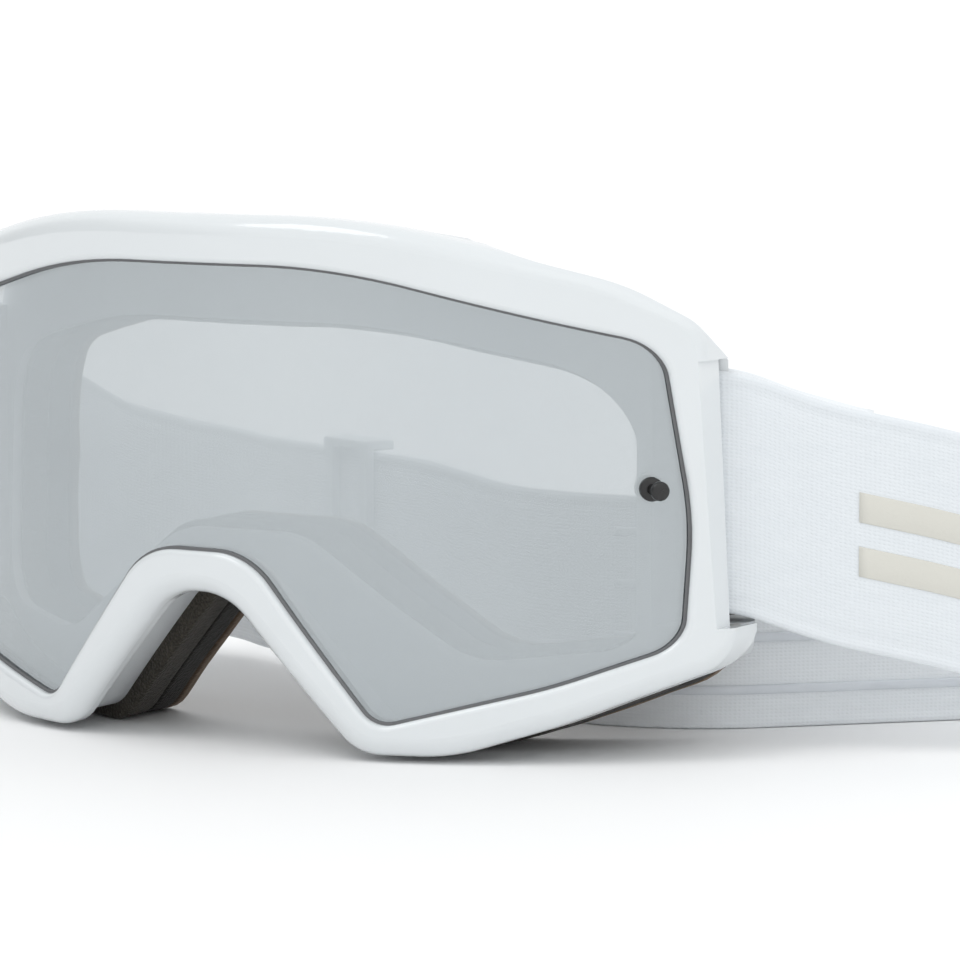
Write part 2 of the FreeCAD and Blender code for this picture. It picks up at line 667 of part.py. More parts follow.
def main():
    """Build every node."""
    os.makedirs("parts", exist_ok=True)
    outline = outer_outline()
    opening = lens_outline()
    seat = seat_outline()
    save("front_bezel", make_bezel(outline, opening))
    save("rear_frame", make_rear_frame(outline, seat))
    save("lens", make_lens(opening))
    save("lens_seal", make_seal(opening))
    for side, name in ((1, "left"), (-1, "right")):
        save("tear_off_post_" + name, make_post(side))
        save("post_washer_" + name, make_post_nut(side))
    save("vent_foam_top", shouldered(vent_foam(outline, TOP_VENTS)))
    save("vent_foam_left", vent_foam(outline, LEFT_VENTS))
    save("vent_foam_right", vent_foam(outline, RIGHT_VENTS))
    make_foam_layers()

    lift = GLIDE_CLEARANCE + GLIDE_WALL
    left = left_route()
    left_low = heights([
        (0, STRAP_LOW * 0.7), (RETURN_LENGTH - 12, STRAP_LOW * 0.86), (RETURN_LENGTH - 6, STRAP_LOW * 0.96),
        (RETURN_LENGTH, STRAP_LOW), (OUTWARD, STRAP_LOW), (OUTWARD + 6, STRAP_LOW * 0.96),
        (OUTWARD + 12, STRAP_LOW * 0.86), (OUTWARD + 20, STRAP_LOW * 0.753), (OUTWARD + 36, STRAP_LOW * 0.613),
        (OUTWARD + 60, STRAP_LOW * 0.362), (OUTWARD + 84, STRAP_LOW * 0.156), (OUTWARD + 100, lift)])
    make_strap(1, left, left_low)
    right = right_route()
    length = right[-1][2]
    right_low = heights([
        (0, STRAP_LOW * 0.66), (RETURN_LENGTH - 13, STRAP_LOW * 0.963), (RETURN_LENGTH, STRAP_LOW),
        (OUTWARD, STRAP_LOW), (OUTWARD + 13, STRAP_LOW * 0.963), (OUTWARD + 28, STRAP_LOW * 0.617),
        (OUTWARD + 43, STRAP_LOW * 0.33), (OUTWARD + 58, STRAP_LOW * 0.156), (OUTWARD + 74, lift),
        (OUTWARD + 126, lift),
        (OUTWARD + 150, 0.0), (length - 100, 0.0), (length - 60, lift)])
    make_strap(-1, right, right_low)

    # The far glide takes both layers and the rear run's shift across as the strap swings.
    reach = WEBBING / 2 + GLIDE_CLEARANCE
    shift = 2 * BAR_X * (1 - math.cos(math.radians(SWING_MAX)))
    place, along = place_on(left, left[-1][2] - GLIDE_LENGTH / 2 - 3.0)
    save("adjuster_left", make_glide(place, along, lift, -reach - WEBBING - LAYER_GAP - shift, reach))
    place, along = place_on(right, OUTWARD + 105.0)
    save("adjuster_right", make_glide(place, along, lift, -reach, reach))


main()
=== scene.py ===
"""Motorcycle goggles, in metres: finishes, soft parts and studio round the fixed frame.

The goggles look along -Y and stand on z = 0.  Sizes below are given in millimetres in the
classes' fields and turned into metres by MM.
"""

import json
import logging
import math
from dataclasses import dataclass, field
from enum import Enum

import bmesh
import bpy
from mathutils import Matrix, Vector, noise

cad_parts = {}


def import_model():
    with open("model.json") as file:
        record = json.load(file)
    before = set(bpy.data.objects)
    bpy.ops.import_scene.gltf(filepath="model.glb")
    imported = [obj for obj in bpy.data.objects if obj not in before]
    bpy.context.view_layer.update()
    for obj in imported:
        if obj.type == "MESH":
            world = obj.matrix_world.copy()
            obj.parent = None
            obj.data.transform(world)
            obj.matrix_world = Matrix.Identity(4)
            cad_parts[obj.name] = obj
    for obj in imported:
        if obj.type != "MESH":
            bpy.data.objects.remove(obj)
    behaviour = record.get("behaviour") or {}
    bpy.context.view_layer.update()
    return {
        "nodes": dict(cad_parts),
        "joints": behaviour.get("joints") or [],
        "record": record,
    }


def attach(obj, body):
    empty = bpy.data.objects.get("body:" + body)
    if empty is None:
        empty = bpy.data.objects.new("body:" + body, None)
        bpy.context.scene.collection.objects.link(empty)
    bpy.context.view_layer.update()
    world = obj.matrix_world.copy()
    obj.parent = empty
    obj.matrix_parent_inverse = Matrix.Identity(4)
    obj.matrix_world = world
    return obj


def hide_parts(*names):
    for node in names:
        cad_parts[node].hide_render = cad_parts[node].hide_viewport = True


MM = 0.001
LOG = logging.getLogger("goggles")
Socket = bpy.types.NodeSocket
Colour = tuple[float, float, float]
Corner = tuple[float, float, float]


# ---- node trees ----------------------------------------------------------------------
class Recipe:
    """Node tree of one material, with a short method for each kind of node it needs."""

    def __init__(self, name: str, settings: dict[str, object]) -> None:
        """Start a material.

        Args:
            name: The material's name.
            settings: Values for the shader's own sockets.
        """
        self.material = bpy.data.materials.new(name)
        self.material.use_nodes = True
        self.tree = self.material.node_tree
        self.shader = self.tree.nodes["Principled BSDF"]
        for socket, value in settings.items():
            self.shader.inputs[socket].default_value = value

    def node(self, kind: str, inputs: dict[object, object], **settings: object) -> bpy.types.Node:
        """Add a node.

        Args:
            kind: The node's type name without its ShaderNode prefix.
            inputs: A value, or another node's output, for each input by name or number.
            settings: The node's own properties.

        Returns:
            The new node.
        """
        made = self.tree.nodes.new("ShaderNode" + kind)
        for key, value in settings.items():
            setattr(made, key, value)
        for key, value in inputs.items():
            if isinstance(value, Socket):
                self.tree.links.new(value, made.inputs[key])
            else:
                made.inputs[key].default_value = value
        return made

    def place(self, stretch: Colour = (1, 1, 1)) -> Socket:
        """Object coordinates, stretched along each axis."""
        where = self.node("TexCoord", {}).outputs["Object"]
        return self.node("Mapping", {"Vector": where, "Scale": stretch}).outputs[0]

    def noise(self, where: Socket, scale: float, detail: float = 3.0) -> Socket:
        """Noise between 0 and 1."""
        inputs = {"Vector": where, "Scale": scale, "Detail": detail}
        return self.node("TexNoise", inputs).outputs["Fac"]

    def cells(self, where: Socket, scale: float) -> Socket:
        """Distance to the nearest of scattered points."""
        return self.node("TexVoronoi", {"Vector": where, "Scale": scale}).outputs["Distance"]

    def maths(self, operation: str, *values: object) -> Socket:
        """Result of one Math node on numbers or other nodes' outputs."""
        return self.node("Math", dict(enumerate(values)), operation=operation).outputs[0]

    def spread(self, value: Socket, low: float, high: float, first: float, last: float) -> Socket:
        """Carry a value from one range to another, held at its ends.

        Args:
            value: The value.
            low: Where its range starts.
            high: Where its range ends.
            first: The result at the start.
            last: The result at the end.

        Returns:
            The result.
        """
        inputs = {
            "Value": value, "From Min": low, "From Max": high, "To Min": first, "To Max": last}
        return self.node("MapRange", inputs).outputs[0]

    def attribute(self, name: str) -> Socket:
        """A number kept on the piece's points."""
        return self.node("Attribute", {}, attribute_name=name).outputs["Fac"]

    def tint(self, first: Colour, second: Colour, share: Socket) -> None:
        """Colour the shader between two colours.

        Args:
            first: The colour where the share is 0.
            second: The colour where the share is 1.
            share: How much of the second colour shows.
        """
        mix = self.node("Mix", {}, data_type="RGBA")
        colours = {socket.name: socket for socket in mix.inputs if socket.type == "RGBA"}
        colours["A"].default_value = (*first, 1)
        colours["B"].default_value = (*second, 1)
        factor = next(socket for socket in mix.inputs if socket.type == "VALUE")
        result = next(socket for socket in mix.outputs if socket.type == "RGBA")
        self.tree.links.new(share, factor)
        self.tree.links.new(result, self.shader.inputs["Base Color"])

    def roughen(self, value: Socket) -> None:
        """Drive the shader's roughness."""
        self.tree.links.new(value, self.shader.inputs["Roughness"])

    def bump(self, height: Socket, distance: float, strength: float = 1.0) -> None:
        """Raise the surface.

        Args:
            height: The height, about 0 to 1.
            distance: How high a height of 1 stands, in metres.
            strength: How strongly it shows.
        """
        inputs = {"Height": height, "Distance": distance, "Strength": strength}
        made = self.node("Bump", inputs)
        self.tree.links.new(made.outputs[0], self.shader.inputs["Normal"])


# ---- finishes ------------------------------------------------------------------------
@dataclass(frozen=True)
class Moulded:
    """Moulded plastic or rubber with a faint flow pattern and a fine surface texture."""

    name: str
    colour: Colour
    shade: Colour
    roughness: float = 0.3
    coat: float = 0.0
    grain: float = 900.0
    depth: float = 0.00002

    def material(self) -> bpy.types.Material:
        """Build the material."""
        recipe = Recipe(self.name, {
            "Coat Weight": self.coat, "Coat Roughness": 0.04, "Specular IOR Level": 0.5})
        place = recipe.place()
        recipe.tint(self.colour, self.shade, recipe.noise(place, 28.0, 4.0))
        fine = recipe.noise(place, self.grain, 5.0)
        recipe.roughen(recipe.spread(fine, 0.3, 0.7, self.roughness * 0.8, self.roughness * 1.25))
        recipe.bump(fine, self.depth)
        return recipe.material


@dataclass(frozen=True)
class MirrorCoat:
    """Silver mirror coating that still lets some light through."""

    name: str = "silver_mirror"
    colour: Colour = (0.545, 0.59, 0.62)
    flash: Colour = (0.60, 0.64, 0.655)
    cover: float = 0.62

    def material(self) -> bpy.types.Material:
        """Build the material."""
        recipe = Recipe(self.name, {
            "Metallic": 0.92, "Alpha": self.cover, "Specular IOR Level": 0.6,
            "Coat Weight": 0.35, "Coat Roughness": 0.02})
        place = recipe.place((14.0, 14.0, 7.0))
        recipe.tint(self.colour, self.flash, recipe.noise(place, 1.0, 1.0))
        haze = recipe.noise(recipe.place(), 260.0, 4.0)
        recipe.roughen(recipe.spread(haze, 0.3, 0.7, 0.035, 0.075))
        return recipe.material


@dataclass(frozen=True)
class Knit:
    """Elastic webbing: knitted ribs along the strap and loops across them, with painted light that
    brightens the inner face.
    """

    name: str = "knit_webbing"
    outside: Colour = (0.72, 0.755, 0.785)
    # Inner face colour brightened past the outer face's: painted light that lifts the inner face,
    # which lies in shade.
    inside_with_painted_light: Colour = (0.84, 0.865, 0.885)
    rib: float = 0.62 * MM
    loop: float = 0.8 * MM

    def material(self) -> bpy.types.Material:
        """Build the material."""
        recipe = Recipe(self.name, {
            "Sheen Weight": 0.25, "Sheen Roughness": 0.5, "Specular IOR Level": 0.25})
        along = recipe.attribute("along")
        rise = recipe.attribute("rise")
        side = recipe.attribute("side")
        waves = recipe.maths("SINE", recipe.maths("MULTIPLY", rise, math.pi / self.rib))
        ribs = recipe.maths("ABSOLUTE", waves)
        slant = recipe.maths("MULTIPLY", ribs, 1.8)
        turns = recipe.maths("MULTIPLY", along, 2 * math.pi / self.loop)
        loops = recipe.maths("SINE", recipe.maths("ADD", turns, slant))
        height = recipe.maths("MULTIPLY_ADD", loops, 0.3, ribs)
        fuzz = recipe.noise(recipe.place(), 2600.0, 3.0)
        height = recipe.maths("ADD", height, recipe.maths("MULTIPLY", fuzz, 0.9))
        recipe.bump(height, 0.00007, 0.55)
        patches = recipe.noise(recipe.place((1.0, 1.0, 4.0)), 120.0, 4.0)
        # The inner face, random patches and the low places between the ribs lean towards the
        # brightened inside colour, so painted light lifts them.
        share = recipe.spread(side, -0.4, 0.4, 0.72, 0.0)
        share = recipe.maths("ADD", share, recipe.spread(patches, 0.35, 0.7, 0.0, 0.14))
        share = recipe.maths("ADD", share, recipe.spread(height, 0.3, 1.1, 0.12, 0.0))
        recipe.tint(self.outside, self.inside_with_painted_light, share)
        recipe.roughen(recipe.spread(fuzz, 0.3, 0.7, 0.72, 0.9))
        return recipe.material


@dataclass(frozen=True)
class CellFoam:
    """Open or fine-cell foam: pores, speckle and an uneven cut surface."""

    name: str
    colour: Colour
    pore: Colour
    cell: float = 0.55 * MM
    depth: float = 0.00022

    def material(self) -> bpy.types.Material:
        """Build the material."""
        recipe = Recipe(self.name, {"Sheen Weight": 0.12, "Specular IOR Level": 0.15})
        place = recipe.place()
        pores = recipe.cells(place, 1.0 / self.cell)
        speckle = recipe.noise(place, 1.3 / self.cell, 5.0)
        clouds = recipe.noise(place, 90.0, 3.0)
        height = recipe.maths("ADD", recipe.maths("MULTIPLY", pores, 1.1), speckle)
        mottle = recipe.maths("ADD", speckle, recipe.maths("MULTIPLY", clouds, 0.5))
        share = recipe.spread(mottle, 0.6, 0.95, 0.0, 1.0)
        recipe.tint(self.pore, self.colour, share)
        recipe.roughen(recipe.spread(clouds, 0.3, 0.7, 0.85, 1.0))
        recipe.bump(height, self.depth)
        return recipe.material


@dataclass(frozen=True)
class Fleece:
    """Brushed face cloth: short fibres that catch the light."""

    name: str = "brushed_fleece"
    colour: Colour = (0.085, 0.055, 0.034)
    root: Colour = (0.030, 0.020, 0.014)

    def material(self) -> bpy.types.Material:
        """Build the material."""
        recipe = Recipe(self.name, {
            "Sheen Weight": 0.7, "Sheen Roughness": 0.6, "Sheen Tint": (0.62, 0.50, 0.40, 1),
            "Specular IOR Level": 0.1})
        fibres = recipe.noise(recipe.place((1.0, 1.0, 2.4)), 1500.0, 6.0)
        tufts = recipe.noise(recipe.place(), 320.0, 4.0)
        nap = recipe.maths("MULTIPLY", fibres, tufts)
        recipe.tint(self.root, self.colour, recipe.spread(nap, 0.12, 0.38, 0.0, 1.0))
        recipe.roughen(recipe.spread(tufts, 0.3, 0.7, 0.9, 1.0))
        recipe.bump(recipe.maths("ADD", fibres, tufts), 0.0003, 0.9)
        return recipe.material


@dataclass(frozen=True)
class Silicone:
    """Translucent silicone lines that stop the strap from slipping."""

    name: str = "grip_silicone"
    colour: Colour = (0.74, 0.77, 0.80)
    shade: Colour = (0.66, 0.69, 0.73)

    def material(self) -> bpy.types.Material:
        """Build the material."""
        recipe = Recipe(self.name, {
            "Subsurface Weight": 0.3, "Subsurface Radius": (0.002, 0.002, 0.002),
            "Coat Weight": 0.15, "Coat Roughness": 0.25})
        place = recipe.place()
        recipe.tint(self.colour, self.shade, recipe.noise(place, 200.0, 3.0))
        film = recipe.noise(place, 1200.0, 4.0)
        recipe.roughen(recipe.spread(film, 0.3, 0.7, 0.28, 0.45))
        recipe.bump(film, 0.00003)
        return recipe.material


@dataclass(frozen=True)
class Thread:
    """Twisted sewing thread."""

    name: str = "tack_thread"
    colour: Colour = (0.72, 0.74, 0.77)
    shade: Colour = (0.50, 0.52, 0.55)

    def material(self) -> bpy.types.Material:
        """Build the material."""
        recipe = Recipe(self.name, {"Sheen Weight": 0.3, "Specular IOR Level": 0.3})
        twist = recipe.noise(recipe.place((1.0, 1.0, 3.0)), 4000.0, 2.0)
        recipe.tint(self.shade, self.colour, recipe.spread(twist, 0.35, 0.6, 0.0, 1.0))
        recipe.roughen(recipe.spread(twist, 0.3, 0.7, 0.5, 0.7))
        recipe.bump(twist, 0.00004)
        return recipe.material


# ---- mesh helpers --------------------------------------------------------------------
def smooth_object(
        bm: bmesh.types.BMesh, name: str, material: bpy.types.Material) -> bpy.types.Object:
    """Turn a finished bmesh into a linked, smooth-shaded object.

    Args:
        bm: The finished mesh, which is freed.
        name: The piece's name.
        material: Its finish.

    Returns:
        The new object, at the origin.
    """
    for face in bm.faces:
        face.smooth = True
    mesh = bpy.data.meshes.new(name)
    bm.to_mesh(mesh)
    bm.free()
    mesh.materials.append(material)
    piece = bpy.data.objects.new(name, mesh)
    bpy.context.scene.collection.objects.link(piece)
    return piece


def outwards(bm: bmesh.types.BMesh) -> None:
    """Point every face of a closed shell outwards."""
    bmesh.ops.recalc_face_normals(bm, faces=bm.faces[:])


def rounded_path(corners: list[Corner], closed: bool, step: float) -> list[Vector]:
    """Points along straight runs and tangent arcs.

    Args:
        corners: Each corner's two coordinates and the radius of its arc.
        closed: Whether the last corner leads back to the first.
        step: The longest distance between two points.

    Returns:
        The points, in two dimensions.
    """
    places = [Vector(corner[:2]) for corner in corners]
    points: list[Vector] = []
    for i, (here, corner) in enumerate(zip(places, corners)):
        radius = corner[2]
        if radius == 0:
            points.append(here)
            continue
        before = (places[i - 1] - here).normalized()
        after = (places[(i + 1) % len(places)] - here).normalized()
        half = before.angle(after) / 2
        centre = here + (before + after).normalized() * (radius / math.sin(half))
        spoke = here + before * (radius / math.tan(half)) - centre
        turn = math.copysign(math.pi - 2 * half, -before.cross(after))
        parts = max(2, math.ceil(abs(turn) * max(radius / step, 3.5)))
        for k in range(parts + 1):
            points.append(centre + Matrix.Rotation(turn * k / parts, 2) @ spoke)
    if closed:
        points.append(points[0].copy())
    dense = [points[0]]
    for point in points[1:]:
        span = point - dense[-1]
        parts = max(1, math.ceil(span.length / step))
        start = dense[-1]
        if span.length > 1e-9:
            dense.extend(start + span * (k / parts) for k in range(1, parts + 1))
    return dense


def evenly(points: list[Vector], count: int) -> list[Vector]:
    """Space the points of a closed line evenly.

    Args:
        points: The line, whose last point is its first again.
        count: How many points to give.

    Returns:
        The evenly spaced points.
    """
    lengths = [0.0]
    for a, b in zip(points, points[1:]):
        lengths.append(lengths[-1] + (b - a).length)
    even: list[Vector] = []
    at = 0
    for k in range(count):
        target = lengths[-1] * k / count
        while lengths[at + 1] < target:
            at += 1
        share = (target - lengths[at]) / max(lengths[at + 1] - lengths[at], 1e-12)
        even.append(points[at].lerp(points[at + 1], share))
    return even


def loop_edges(bm: bmesh.types.BMesh, points: list[Vector]) -> list[bmesh.types.BMEdge]:
    """Closed ring of edges through points."""
    verts = [bm.verts.new(point) for point in points]
    return [bm.edges.new((a, b)) for a, b in zip(verts, verts[1:] + verts[:1])]


def lathed(profile: list[tuple[float, float]], steps: int = 40) -> bmesh.types.BMesh:
    """Turn a profile about the Z axis into a closed shell.

    Args:
        profile: Radius and height of each point, from the axis back to the axis.
        steps: How many steps go round.

    Returns:
        The shell.
    """
    bm = bmesh.new()
    verts = [bm.verts.new((radius, 0.0, height)) for radius, height in profile]
    edges = [bm.edges.new(pair) for pair in zip(verts, verts[1:])]
    bmesh.ops.spin(bm, geom=verts + edges, axis=(0, 0, 1), cent=(0, 0, 0), dvec=(0, 0, 0),
                   angle=2 * math.pi, steps=steps, use_merge=True)
    bmesh.ops.remove_doubles(bm, verts=bm.verts[:], dist=1e-7)
    outwards(bm)
    return bm


def softened(node: str, name: str, width: float, material: bpy.types.Material) -> bpy.types.Object:
    """A copy of a CAD node with its edges rounded, standing for it.

    Args:
        node: The CAD node.
        name: The new piece's name.
        width: How wide each edge is rounded.
        material: The new piece's finish.

    Returns:
        The new piece.
    """
    bm = bmesh.new()
    bm.from_mesh(bpy.data.objects[node].data)
    bmesh.ops.remove_doubles(bm, verts=bm.verts[:], dist=2e-6)
    bmesh.ops.dissolve_limit(bm, angle_limit=math.radians(1), verts=bm.verts[:], edges=bm.edges[:])
    sharp = [edge for edge in bm.edges if edge.calc_face_angle(0) > math.radians(30)]
    bmesh.ops.bevel(bm, geom=sharp, offset=width, offset_type="OFFSET", affect="EDGES",
                    segments=3, profile=0.5, material=-1, clamp_overlap=True)
    piece = smooth_object(bm, name, material)
    piece.modifiers.new("even_shading", "WEIGHTED_NORMAL")
    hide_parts(node)
    return piece


# ---- frame, lens and seal ------------------------------------------------------------
@dataclass
class FrameShells:
    """The hard and soft shells that keep their CAD shape and only get a finish."""

    finishes: dict[str, Moulded | MirrorCoat]

    def dress(self, nodes: dict[str, bpy.types.Object]) -> None:
        """Give each carried node its finish.

        Args:
            nodes: The CAD nodes by name.
        """
        made: dict[object, bpy.types.Material] = {}
        for name, finish in self.finishes.items():
            if finish not in made:
                made[finish] = finish.material()
            for slot in nodes[name].material_slots:
                slot.material = made[finish]
            LOG.info("dressed %s in %s", name, finish.name)


@dataclass
class TearOffPost:
    """Flanged post on the lens: a disc seated on it, and a leaning stem with a domed head."""

    side: int
    finish: Moulded
    flange: float = 2.0
    flange_height: float = 0.6
    stem: float = 1.0
    head: float = 1.6
    tilt: float = 14.0

    def build(self, mount: dict) -> bpy.types.Object:
        """Build the post that stands for its CAD node.

        Args:
            mount: The record's mount on the post's head, which gives its middle and axis.

        Returns:
            The new piece.
        """
        name = "left" if self.side > 0 else "right"
        axis = Vector(mount["axis"]).normalized()
        middle = Vector(mount["pos_m"])
        reach = 3.4 * MM
        foot = middle - axis * reach
        leaning = self._turned([
            (0, -0.2), (self.stem, -0.2), (self.stem * 0.92, 1.4), (self.stem, 2.5),
            (self.head * 0.94, 2.8), (self.head, 3.0), (self.head, 3.55),
            (self.head * 0.93, 3.82), (self.head * 0.75, 3.97), (0, 4.0)])
        bmesh.ops.transform(leaning, matrix=self._facing(foot, axis), verts=leaning.verts[:])
        normal = Matrix.Rotation(math.radians(-self.side * self.tilt), 3, "Z") @ axis
        seated = self._turned([
            (0, -2.4), (self.stem, -2.4), (self.stem, 0), (self.flange * 0.97, 0),
            (self.flange, 0.15),
            (self.flange, 0.42), (self.flange * 0.94, self.flange_height), (0, self.flange_height)])
        bmesh.ops.transform(seated, matrix=self._facing(foot, normal), verts=seated.verts[:])
        mesh = bpy.data.meshes.new("seat")
        seated.to_mesh(mesh)
        leaning.from_mesh(mesh)
        seated.free()
        bpy.data.meshes.remove(mesh)
        post = smooth_object(leaning, "post_" + name, self.finish.material())
        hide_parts("tear_off_post_" + name)
        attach(post, "goggles")
        LOG.info("turned %s", post.name)
        return post

    def _turned(self, profile: list[tuple[float, float]]) -> bmesh.types.BMesh:
        """Turn a profile given in millimetres."""
        return lathed([(radius * MM, height * MM) for radius, height in profile])

    @staticmethod
    def _facing(foot: Vector, axis: Vector) -> Matrix:
        """Matrix that stands a turned piece on a point, along an axis."""
        return Matrix.Translation(foot) @ axis.to_track_quat("Z", "Y").to_matrix().to_4x4()


# ---- face foam and vent foam ---------------------------------------------------------
@dataclass
class FoamLayer:
    """One glued layer of the face foam."""

    name: str
    node: str
    slot: str
    start: float
    depth: float
    edge: float
    unevenness: float
    finish: CellFoam | Fleece


@dataclass
class FaceFoam:
    """Three foam layers that follow the frame's curve and meet the face."""

    layers: list[FoamLayer]
    half: float = 70.9
    height: float = 89.5
    front: float = 14.0
    radius: float = 96.0
    spread: float = 2.5
    total: float = 16.5
    points: int = 260
    temple_slope: Vector = Vector((0.75, 0.5, 1)).normalized()
    temple_point: Vector = Vector((72.5, 29.0, 73.5))
    grain: float = 140.0
    seed: int = 7

    def _outer(self) -> list[Corner]:
        """Outer edge, front view: brow, temples, cheek lobes and nose arch."""
        half = [
            (28.0, self.height - 5.0, 110.0), (58.5, self.height - 13.6, 26.0),
            (self.half - 2.6, self.height - 26.0, 16.0), (self.half - 0.6, 11.8, 9.0),
            (44.0, 0.2, 40.0), (27.5, 0.2, 8.0), (3.734, 26.5, 7.0)]
        return half + [(-x, z, radius) for x, z, radius in reversed(half)]

    def _inner(self) -> list[Corner]:
        """Edge of the opening round the eyes."""
        half = [
            (26.0, self.height - 19.3, 89.0), (62.0, self.height - 28.0, 16.0),
            (65.8, 18.5, 8.0), (40.0, 16.0, 11.0), (12.5, 36.7, 13.0)]
        return half + [(-x, z, radius) for x, z, radius in reversed(half)]

    def _loop(self, corners: list[Corner]) -> list[Vector]:
        """Evenly spaced points of an outline from the middle of the brow, in metres."""
        path = rounded_path(corners, True, 1.0)
        top = min(range(len(path) - 1), key=lambda i: abs(path[i].x) - path[i].y)
        turned = path[top:-1] + path[:top + 1]
        return [Vector((point.x, 0, point.y)) * MM for point in evenly(turned, self.points)]

    def _curved(self, bm: bmesh.types.BMesh, layer: FoamLayer) -> None:
        """Bend a flat layer to the frame's curve, trim its temples and roughen it a little.

        Args:
            bm: The layer, flat, with its front at y = 0.
            layer: Its sizes.
        """
        slope = self.temple_slope
        limit = slope.dot(self.temple_point * MM)
        for vert in bm.verts:
            depth = layer.start * MM + vert.co.y
            radius = (self.radius - self.spread * depth / (self.total * MM)) * MM
            bend = radius - math.sqrt(radius ** 2 - vert.co.x ** 2)
            vert.co.y = self.front * MM + depth + bend
            outward = Vector((math.copysign(slope.x, vert.co.x), slope.y, slope.z))
            beyond = outward.dot(vert.co) - limit
            if beyond > 0:
                vert.co -= outward * beyond
            wobble = noise.noise_vector(vert.co * self.grain) * (layer.unevenness * MM)
            wobble.y *= 0.2
            if vert.co.z + wobble.z > 0:
                vert.co += wobble

    def build(self) -> None:
        """Build the layers."""
        noise.seed_set(self.seed)
        outer = self._loop(self._outer())
        inner = self._loop(self._inner())
        for layer in self.layers:
            bm = bmesh.new()
            edges = loop_edges(bm, outer) + loop_edges(bm, inner)
            bmesh.ops.bridge_loops(bm, edges=edges)
            across = [edge for edge in bm.edges if len(edge.link_faces) == 2]
            bmesh.ops.subdivide_edges(bm, edges=across, cuts=4, use_grid_fill=True)
            back = bmesh.ops.extrude_face_region(bm, geom=bm.faces[:])["geom"]
            moved = [item for item in back if isinstance(item, bmesh.types.BMVert)]
            bmesh.ops.translate(bm, verts=moved, vec=(0, layer.depth * MM, 0))
            outwards(bm)
            rims = [edge for edge in bm.edges if edge.calc_face_angle(0) > math.radians(60)]
            bmesh.ops.bevel(
                bm, geom=rims, offset=layer.edge * MM, offset_type="OFFSET", affect="EDGES",
                segments=4, profile=0.5, material=-1, clamp_overlap=True)
            walls = [edge for edge in bm.edges
                     if abs((edge.verts[0].co - edge.verts[1].co).y) > layer.depth * MM * 0.4]
            bmesh.ops.subdivide_edges(bm, edges=walls, cuts=3, use_grid_fill=True)
            self._curved(bm, layer)
            piece = smooth_object(bm, layer.name, layer.finish.material())
            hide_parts(layer.node)
            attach(piece, "goggles")
            LOG.info("cut %s", layer.name)


@dataclass
class VentFoams:
    """Open-cell filter foam in the vents, cut by hand and a little uneven."""

    finish: CellFoam
    voxel: float = 0.55
    unevenness: float = 0.16

    def build(self) -> None:
        """Build one strip for each CAD node."""
        material = self.finish.material()
        for place in ("top", "left", "right"):
            node = "vent_foam_" + place
            rough = bpy.data.objects.new("rough_" + place, bpy.data.objects[node].data.copy())
            bpy.context.scene.collection.objects.link(rough)
            bm = bmesh.new()
            bm.from_mesh(rough.data)
            bmesh.ops.remove_doubles(bm, verts=bm.verts[:], dist=2e-6)
            bm.to_mesh(rough.data)
            bm.free()
            remesh = rough.modifiers.new("cut", "REMESH")
            remesh.mode = "VOXEL"
            remesh.voxel_size = self.voxel * MM
            evaluated = rough.evaluated_get(bpy.context.evaluated_depsgraph_get())
            bm = bmesh.new()
            bm.from_mesh(evaluated.to_mesh())
            bpy.data.objects.remove(rough)
            bmesh.ops.smooth_vert(bm, verts=bm.verts[:], factor=0.5,
                                  use_axis_x=True, use_axis_y=True, use_axis_z=True)
            for vert in bm.verts:
                vert.co -= vert.normal * (self.unevenness * MM * abs(noise.noise(vert.co * 700.0)))
            piece = smooth_object(bm, "filter_foam_" + place, material)
            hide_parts(node)
            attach(piece, "goggles")
            LOG.info("cut %s", piece.name)


# ---- strap ---------------------------------------------------------------------------
class Half(Enum):
    """The two halves of the strap, by the wearer's side."""

    LEFT = 1
    RIGHT = -1


@dataclass(frozen=True)
class Station:
    """A place along the strap: plan point, left-hand normal, distance and lower edge."""

    point: Vector
    normal: Vector
    distance: float
    low: float


@dataclass(frozen=True)
class Trim:
    """Something that lies along the webbing: start, stop, rise, width and height."""

    start: float
    stop: float
    rise: float
    width: float
    height: float


